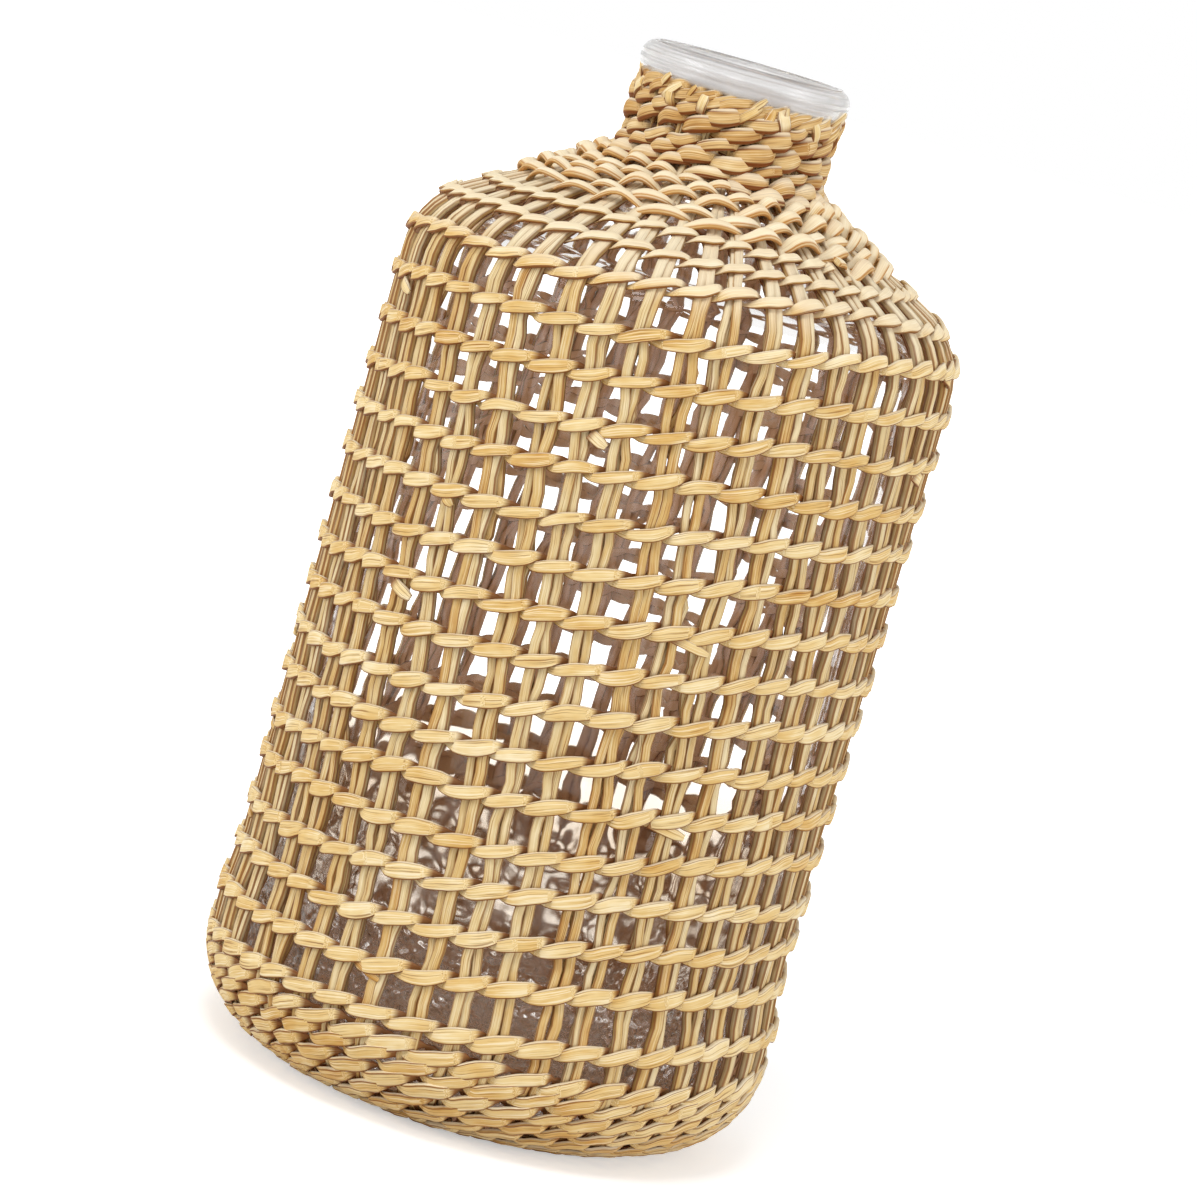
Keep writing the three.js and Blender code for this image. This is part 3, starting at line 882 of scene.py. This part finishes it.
def build_cross_tree():
    recipe, ask, result = new_tree("floor cross", CROSS_SIZES, ("Straws", "Seed", "Steps"), ("Finish",))
    lines, which, share = numbered_lines(recipe, ask["Straws"] * 2, ask["Steps"])
    pair = recipe.math("FLOOR", (which + 0.5) / 2.0)
    crosswise = which - pair * 2.0
    lengthwise = 1.0 - crosswise
    row = pair - (ask["Straws"] - 1.0) * 0.5
    along = (share - 0.5) * ask["Length"]
    side = row * ask["Spacing"]
    over = recipe.math("COSINE", (along / ask["Spacing"] + row + crosswise) * math.pi)
    height = ask["Height"] + ask["Weave"] * over
    x = along * lengthwise - side * crosswise
    y = side * lengthwise + along * crosswise
    marks = {"along": along + which * STEM_SHIFT, "tone": recipe.chance(which, ask["Seed"]), "crossing": 0.0}
    section = straw_section(recipe, ask["Width"], ask["Thickness"], STAKE_SIDES)
    downwards = recipe.vector(0.0, 0.0, -1.0)
    point = recipe.vector(x, y, height)
    straws = draw_straw(recipe, lines, point, downwards, section, 1.0, ask["Finish"], marks)
    recipe.feed(result, {0: straws})
    return recipe.tree


cross = grow("floor_cross", build_cross_tree(), {
    "Finish": stake_straw, "Straws": 7, "Spacing": 2.9 * mm, "Length": 25 * mm, "Height": 2.3 * mm,
    "Weave": 0.8 * mm, "Width": 2.7 * mm, "Thickness": 1.0 * mm, "Seed": 6, "Steps": 28})
mat_weave = join("mat_weave", [mat_inner, mat_outer, cross])
pieces.append((mat_weave, "straw_weave", ["base_mat"]))

# %% [markdown]
# ## The collar at the neck
# Above the shoulder the stakes are taken in groups, and the rows close up. The passes get longer and
# chunkier, first as bright arches over the shoulder and then as short thick stitches round the neck. They
# could be modelled as a twisted rope, but a rope has no stakes behind it. The twining tree gives both with
# fewer uprights, rounder straws and more unevenness.

# %% Weave the collar
ARCH_ROWS = (2.2, 2.6)
ARCH_GROUPS = 23.0
NECK_ROWS = (1.5, 4.1)
NECK_GROUPS = 17.0
collar_bend = length_where(lambda r, z: z > body_top and r <= 26 * mm)
arch_turn = row_turn + open_rows / 2
arch_lengths = (OPEN_TOP, (OPEN_TOP + collar_bend) / 2, collar_bend)
arches = twine_band("arches", arch_straw, arch_lengths, ARCH_ROWS, ARCH_GROUPS, arch_turn, {
    "Lift": 0.9 * mm, "End Lift": 1.0 * mm, "Reach": 2.2 * mm, "Rise": 1.5 * mm, "Width": 3.5 * mm,
    "End Width": 3.6 * mm, "Thickness": 1.9 * mm, "Waist": 0.4, "Wobble": 1.8 * mm, "Unevenness": 1.6,
    "Flatness": 0.1, "Roundness": 0.7, "Steps": 10})
neck_turn = arch_turn + sum(ARCH_ROWS) / 2
neck_lengths = (collar_bend, collar_bend + 6 * mm, jacket_top - 1 * mm)
neck = twine_band("neck", neck_straw, neck_lengths, NECK_ROWS, NECK_GROUPS, neck_turn, {
    "Lift": 0.7 * mm, "End Lift": 0.8 * mm, "Reach": 1.8 * mm, "Rise": 1.15 * mm, "Width": 4.9 * mm,
    "End Width": 4.5 * mm, "Thickness": 2.4 * mm, "Waist": 0.25, "Wobble": 1.4 * mm, "Unevenness": 1.9,
    "Flatness": 0.3, "Roundness": 0.75, "Steps": 12})
collar = join("collar_weave", [arches, neck])
pieces.append((collar, "straw_weave", ["neck_collar"]))

# %% [markdown]
# ## The border under the lip
# The ends of the stakes are folded over and tucked into the last row, which leaves a rolled edge with a few
# cut tips. A plain ring would hide that the work ends here. The last row comes from the twining tree, and
# the folds and tips from the tree of short straws, with two sets of sizes.

# %% Weave the border
BORDER_ROWS = (1.0, 1.0)
BORDER_GROUPS = 19.0
border_lengths = (jacket_top - 1.5 * mm, jacket_top - 0.8 * mm, jacket_top - 0.2 * mm)
border_row = twine_band("border_row", neck_straw, border_lengths, BORDER_ROWS, BORDER_GROUPS, row_turn, {
    "Lift": 0.9 * mm, "End Lift": 0.9 * mm, "Reach": 1.5 * mm, "Rise": 1.5 * mm, "Width": 2.8 * mm,
    "Thickness": 1.4 * mm, "Waist": 0.6, "Wobble": 0.6 * mm, "Unevenness": 1.2, "Steps": 10})
fold_sizes = {
    "Outline": jacket_outline, "Finish": weave_straw, "Count": 21, "From": jacket_top - 4.5 * mm,
    "To": jacket_top + 1.6 * mm, "Slant": math.radians(20), "Lift": 2.3 * mm, "Bulge": 0.9 * mm,
    "Lean": 0.3 * mm, "Width": 2.7 * mm, "Thickness": 1.2 * mm, "Climb": 0.0, "Turns": 1.0,
    "First Turn": 0.0, "Swoop": 0.0, "Seed": 3, "Steps": 8}
tip_sizes = {**fold_sizes, "Count": 13, "From": jacket_top - 1.5 * mm, "To": jacket_top + 3.6 * mm,
             "Slant": math.radians(11), "Lift": 2.2 * mm, "Bulge": 0.3 * mm, "Lean": 2.0 * mm,
             "Width": 1.6 * mm, "Thickness": 0.7 * mm, "Seed": 8}
folded_ends = grow("folded_ends", end_tree, fold_sizes)
cut_tips = grow("cut_tips", end_tree, tip_sizes)
border = join("border", [border_row, folded_ends, cut_tips])
pieces.append((border, "straw_weave", ["top_border"]))

# %% [markdown]
# ## The glass bottle
# The bottle is clear glass with a thick floor and a rolled lip, which has a ring of air inside. A Screw
# modifier on a curve would turn it too. Here one profile, from the centre under the floor, up the outside,
# round the lip and down the inside to the centre, is spun in code, which closes both ends with a single
# point on the axis. The walls are real, because light bends at both faces of the glass, and that bending
# draws the grey lines at its edges.

# %% The bottle's profile
WALL = 2.8 * mm
FLOOR_THICKNESS = 8 * mm
LIP_RADIUS = 25.8 * mm
LIP_DEPTH = 4.6 * mm  # from the outside of the lip to the mouth
LIP_LOW = HEIGHT - 8.2 * mm
LIP_STEP = 1.2 * mm  # the outside of the neck ends this far below the lip
BORE_STEP = 4.5 * mm  # and the inside this far
LIP_CURVE = 3.7 * mm  # outside
MOUTH_CURVE = 2.2 * mm  # inside
LIP_SKIN = 0.9 * mm  # glass round the ring of air
FUNNEL_DROP = 4 * mm  # from the lip down to the end of the funnel in the mouth
FUNNEL_HEIGHT = 4.5 * mm
FUNNEL_STEPS = 12
CORNER_RISE = 1.5 * mm  # where the inside turns into the floor
CORNER_RUN = 2.5 * mm


def bottle_profile():
    """The outside, over the lip and down the inside, as one line of points."""
    edge = LIP_RADIUS - LIP_CURVE
    mouth = LIP_RADIUS - LIP_DEPTH
    bore = NECK_RADIUS - WALL
    floor_top = GLASS_FLOOR + FLOOR_THICKNESS
    outside = outline(0, 0.0, LIP_LOW - LIP_STEP)
    lip = (arc((edge, LIP_LOW + LIP_CURVE), LIP_CURVE, -90, 0, 14)
           + arc((edge, HEIGHT - LIP_CURVE), LIP_CURVE, 0, 90, 14)
           + arc((mouth + MOUTH_CURVE, HEIGHT - MOUTH_CURVE), MOUTH_CURVE, 90, 180, 8))
    climbs = [t / FUNNEL_STEPS for t in range(FUNNEL_STEPS, -1, -1)]
    funnel = [(bore + (mouth - bore) * (0.5 - 0.5 * math.cos(math.pi * climb)),
               LIP_LOW - FUNNEL_DROP + FUNNEL_HEIGHT * climb) for climb in climbs]
    inside = [p for p in outline(-WALL, 0.0, LIP_LOW - BORE_STEP) if p[1] > floor_top + CORNER_RISE]
    corner = (inside[0][0] - CORNER_RUN, floor_top)
    return outside + lip + funnel + inside[::-1] + [corner, (0.0, floor_top)]


def lip_hollow():
    """A ring of air inside the rolled lip, as a closed line of points that runs the other way."""
    middle = (LIP_RADIUS - LIP_DEPTH / 2, (LIP_LOW + HEIGHT) / 2)
    across = LIP_DEPTH / 2 - LIP_SKIN
    up = (HEIGHT - LIP_LOW) / 2 - LIP_SKIN
    ring = [(middle[0] + across * x, middle[1] + up * z) for x, z in arc((0, 0), 1, -90, 262, 32)]
    return (ring + ring[:1])[::-1]


print("points on the bottle's profile", len(bottle_profile()), "round the air", len(lip_hollow()))

# %% Turn the bottle
BOTTLE_SIDES = 96


def spin(name, profiles, sides):
    """A turned mesh from lines that are closed or end on the axis, where a point becomes a single vertex."""
    mesh = bpy.data.meshes.new(name)
    shape = bmesh.new()
    angles = [2 * math.pi * i / sides for i in range(sides)]
    for profile in profiles:
        rings = []
        for radius, height in profile:
            if radius < 1e-6:
                rings.append([shape.verts.new((0, 0, height))] * sides)
            elif rings and (radius, height) == profile[0]:
                rings.append(rings[0])
            else:
                spots = [(radius * math.cos(a), radius * math.sin(a), height) for a in angles]
                rings.append([shape.verts.new(spot) for spot in spots])
        for low, high in zip(rings, rings[1:]):
            for i in range(sides):
                corners = [low[i], low[(i + 1) % sides], high[(i + 1) % sides], high[i]]
                shape.faces.new(list(dict.fromkeys(corners)))
    shape.to_mesh(mesh)
    shape.free()
    mesh.polygons.foreach_set("use_smooth", [True] * len(mesh.polygons))
    piece = bpy.data.objects.new(name, mesh)
    bpy.context.scene.collection.objects.link(piece)
    print("%s: %d faces" % (name, len(mesh.polygons)))
    return piece


bottle = spin("bottle", [bottle_profile(), lip_hollow()], BOTTLE_SIDES)
pieces.append((bottle, "glass", ["glass_bottle"]))

# %% [markdown]
# ## The glass finish
# Blown glass is clear, with soft waves in its surface. The lower part of the bottle is rippled like thick
# glass and tinted darker and browner towards the bottom, and the rolled lip is slightly cloudy, with fine
# rings from the tool. One material with a mask for the lip could hold all that, but two that share a recipe
# are easier to change. Light that has bounced or bent more than four times is let straight out, and so is
# light for shadows and for the straw, because a renderer would otherwise lose it in the glass.

# %% The glass as a material
RIPPLES_START = 101 * mm  # height below which the glass begins to look thick
RIPPLES_FULL = 80 * mm
FLOOR_START = 56 * mm  # below this the crinkled floor shows
FLOOR_FULL = 34 * mm
WAVE_DRIFT = 12 * mm  # keeps the edge of the thick part from being level
WAVE_SCALE = 22.0
RIPPLE_SCALE = 95.0
CRINKLE_SCALE = 150.0
MARK_ROUND = 30.0  # the tool marks are long round the lip
MARK_UP = 700.0  # and close together up and down
# the glass is tinted darker and browner towards the bottom
LOW_TINT = (0.74, 0.66, 0.57, 1)
GLASS_IOR = 1.45
GLASS_SHINE = (0.4, 0.4, 0.4, 1)
MOST_BENDS = 4.5  # light that has bounced or bent more often than this is let out


def glass_finish(name, clearness, tint, roughness, rings):
    """Glass with a wavy surface, thick and rippled low down. rings is the height of the tool marks."""
    material, recipe, shader = new_material(name)
    place = recipe.out(recipe.node("ShaderNodeTexCoord"), "Object")
    x, y, z = recipe.split(place)
    waves = recipe.noise(place, WAVE_SCALE)
    ripples = recipe.noise(place, RIPPLE_SCALE)
    crinkles = recipe.noise(place, CRINKLE_SCALE, 2.0)
    tool_marks = recipe.noise(recipe.vector(x * MARK_ROUND, y * MARK_ROUND, z * MARK_UP))
    low_down = recipe.ramp(z + waves * WAVE_DRIFT, RIPPLES_START, RIPPLES_FULL)
    in_floor = recipe.ramp(z, FLOOR_START, FLOOR_FULL)
    height = waves + ripples * (low_down - in_floor) * 4.8 + crinkles * in_floor * 9.0 + tool_marks * rings
    bump = recipe.node("ShaderNodeBump", {"Height": height, "Strength": 0.3, "Distance": 2 * mm})
    recipe.feed(shader, {
        "Base Color": recipe.mix(low_down - in_floor * 0.8, tint, LOW_TINT), "Normal": recipe.out(bump),
        "Roughness": waves * 0.04 + low_down * 0.08 + roughness, "Transmission Weight": clearness,
        "IOR": GLASS_IOR, "Specular Tint": GLASS_SHINE})

    rays = recipe.node("ShaderNodeLightPath")
    trapped = recipe.math("GREATER_THAN", recipe.out(rays, "Ray Depth"), MOST_BENDS)
    passes = recipe.most(recipe.out(rays, "Is Shadow Ray"), recipe.out(rays, "Is Diffuse Ray"), trapped)
    clear = recipe.node("ShaderNodeBsdfTransparent")
    lets_light = recipe.node("ShaderNodeMixShader", {0: passes, 1: recipe.out(shader), 2: recipe.out(clear)})
    recipe.feed(material.node_tree.nodes["Material Output"], {"Surface": recipe.out(lets_light)})
    return material


clear_glass = glass_finish("clear_glass", clearness=1.0, tint=(1.0, 0.997, 0.99, 1), roughness=0.0, rings=0.0)
lip_glass = glass_finish("lip_glass", clearness=0.78, tint=(0.81, 0.805, 0.8, 1), roughness=0.13, rings=3.0)
bottle.data.materials.append(clear_glass)
bottle.data.materials.append(lip_glass)
for face in bottle.data.polygons:
    face.material_index = int(face.center.z > LIP_LOW)
print("glass finishes", clear_glass.name, lip_glass.name)

# %% [markdown]
# ## Hand the pieces to the frame
# Nothing on the vase moves, so each piece rides on the one body. It takes the place of its CAD solids. The
# outline was only a guide for the straws, so it goes.

# %% Ride and replace
bpy.data.objects.remove(jacket_outline)
for piece, slot, replaced in pieces:
    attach(piece, "root")
    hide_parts(*replaced)
triangles = sum(len(face.vertices) - 2 for piece, _, _ in pieces for face in piece.data.polygons)
print("pieces", len(pieces), "triangles", triangles)

# %% [markdown]
# ## Floor and surround
# The vase was photographed on white. More light would make the floor white too, but it would bleach the
# straw. So floor and surround glow only where they are seen, directly, in a reflection or through the
# glass, and the floor still takes a soft shadow near the foot.


# %% White floor
SEEN_RAYS = ("Is Camera Ray", "Is Glossy Ray", "Is Transmission Ray")


def seen_directly(recipe):
    """One for what the camera sees straight, in a reflection or through glass."""
    rays = recipe.node("ShaderNodeLightPath")
    return recipe.most(*[recipe.out(rays, kind) for kind in SEEN_RAYS])


FLOOR_HALF = 6  # metres
mesh = bpy.data.meshes.new("floor")
corners = [(-1, -1), (1, -1), (1, 1), (-1, 1)]
mesh.from_pydata([(x * FLOOR_HALF, y * FLOOR_HALF, 0) for x, y in corners], [], [(0, 1, 2, 3)])
floor = bpy.data.objects.new("floor", mesh)
bpy.context.scene.collection.objects.link(floor)
floor_white, recipe, shader = new_material("white_floor")
place = recipe.out(recipe.node("ShaderNodeTexCoord"), "Object")
away = recipe.out(recipe.node("ShaderNodeVectorMath", {0: place}, operation="LENGTH"), "Value")
recipe.feed(shader, {
    "Base Color": (0.88, 0.88, 0.88, 1), "Roughness": 0.9, "Specular IOR Level": 0.0,
    "Emission Color": (1, 1, 1, 1),
    "Emission Strength": seen_directly(recipe) * recipe.ramp(away, 0.1, 0.45, 0.45, 1.0)})
mesh.materials.append(floor_white)
print("floor", 2 * FLOOR_HALF, "m wide")

# %% White surround
SURROUND_LIGHT = 0.57
world = bpy.data.worlds.new("white_surround")
bpy.context.scene.world = world
world.use_nodes = True
surround = Recipe(world.node_tree)
strength = SURROUND_LIGHT + seen_directly(surround) * (1 - SURROUND_LIGHT)
surround.feed(world.node_tree.nodes["Background"], {"Color": (1, 1, 1, 1), "Strength": strength})
print("surround lights the object at", SURROUND_LIGHT)

# %% [markdown]
# ## Soft lamps
# The straws show soft shade under each row and no hard shadow. The surround alone would light them evenly
# from all sides and flatten them. Three large soft lamps, one high in front and one on each side, bring the
# relief back.

# %% Set the lamps
LAMP_AIM = Vector((0, 0, 0.12))


def soft_lamp(name, place, size, watts):
    """A round lamp that looks at the middle of the vase."""
    data = bpy.data.lights.new(name, "AREA")
    data.shape = "DISK"
    data.size = size
    data.energy = watts
    lamp = bpy.data.objects.new(name, data)
    lamp.location = place
    lamp.rotation_euler = (LAMP_AIM - Vector(place)).to_track_quat("-Z", "Y").to_euler()
    bpy.context.scene.collection.objects.link(lamp)
    print(name, "at", place, watts, "W")


soft_lamp("high_front_lamp", (-0.3, -1.1, 2.0), size=0.7, watts=15)
soft_lamp("left_lamp", (-1.5, -0.8, 0.6), size=0.8, watts=11)
soft_lamp("right_lamp", (1.6, -0.9, 0.45), size=0.8, watts=12)

# %% [markdown]
# ## The camera
# The photograph looks slightly down on the vase from the front, from just over a metre, and the picture is
# turned so that the vase leans to the right. The vase could be tilted, but it has to stand flat. The camera
# is therefore rolled to the left about its own line of sight.

# %% Set the camera
TARGET = Vector((0, 0, 0.1256))
DISTANCE = 1.1168
LOOK_DOWN = math.radians(9)
ROLL = math.radians(15.8)
camera_data = bpy.data.cameras.new("camera")
camera_data.sensor_width = 36
camera_data.lens = 137.8
camera = bpy.data.objects.new("camera", camera_data)
camera.location = TARGET + DISTANCE * Vector((0, -math.cos(LOOK_DOWN), math.sin(LOOK_DOWN)))
level = (TARGET - camera.location).to_track_quat("-Z", "Y").to_matrix()
camera.rotation_euler = (level @ Matrix.Rotation(ROLL, 3, "Z")).to_euler()
bpy.context.scene.collection.objects.link(camera)
bpy.context.scene.camera = camera
bpy.context.scene.view_settings.view_transform = "Standard"
print("camera at", [round(v, 4) for v in camera.location])

# %% [markdown]
# ## The size
# The jacket may stand a little outside the CAD model, but the object keeps its size.
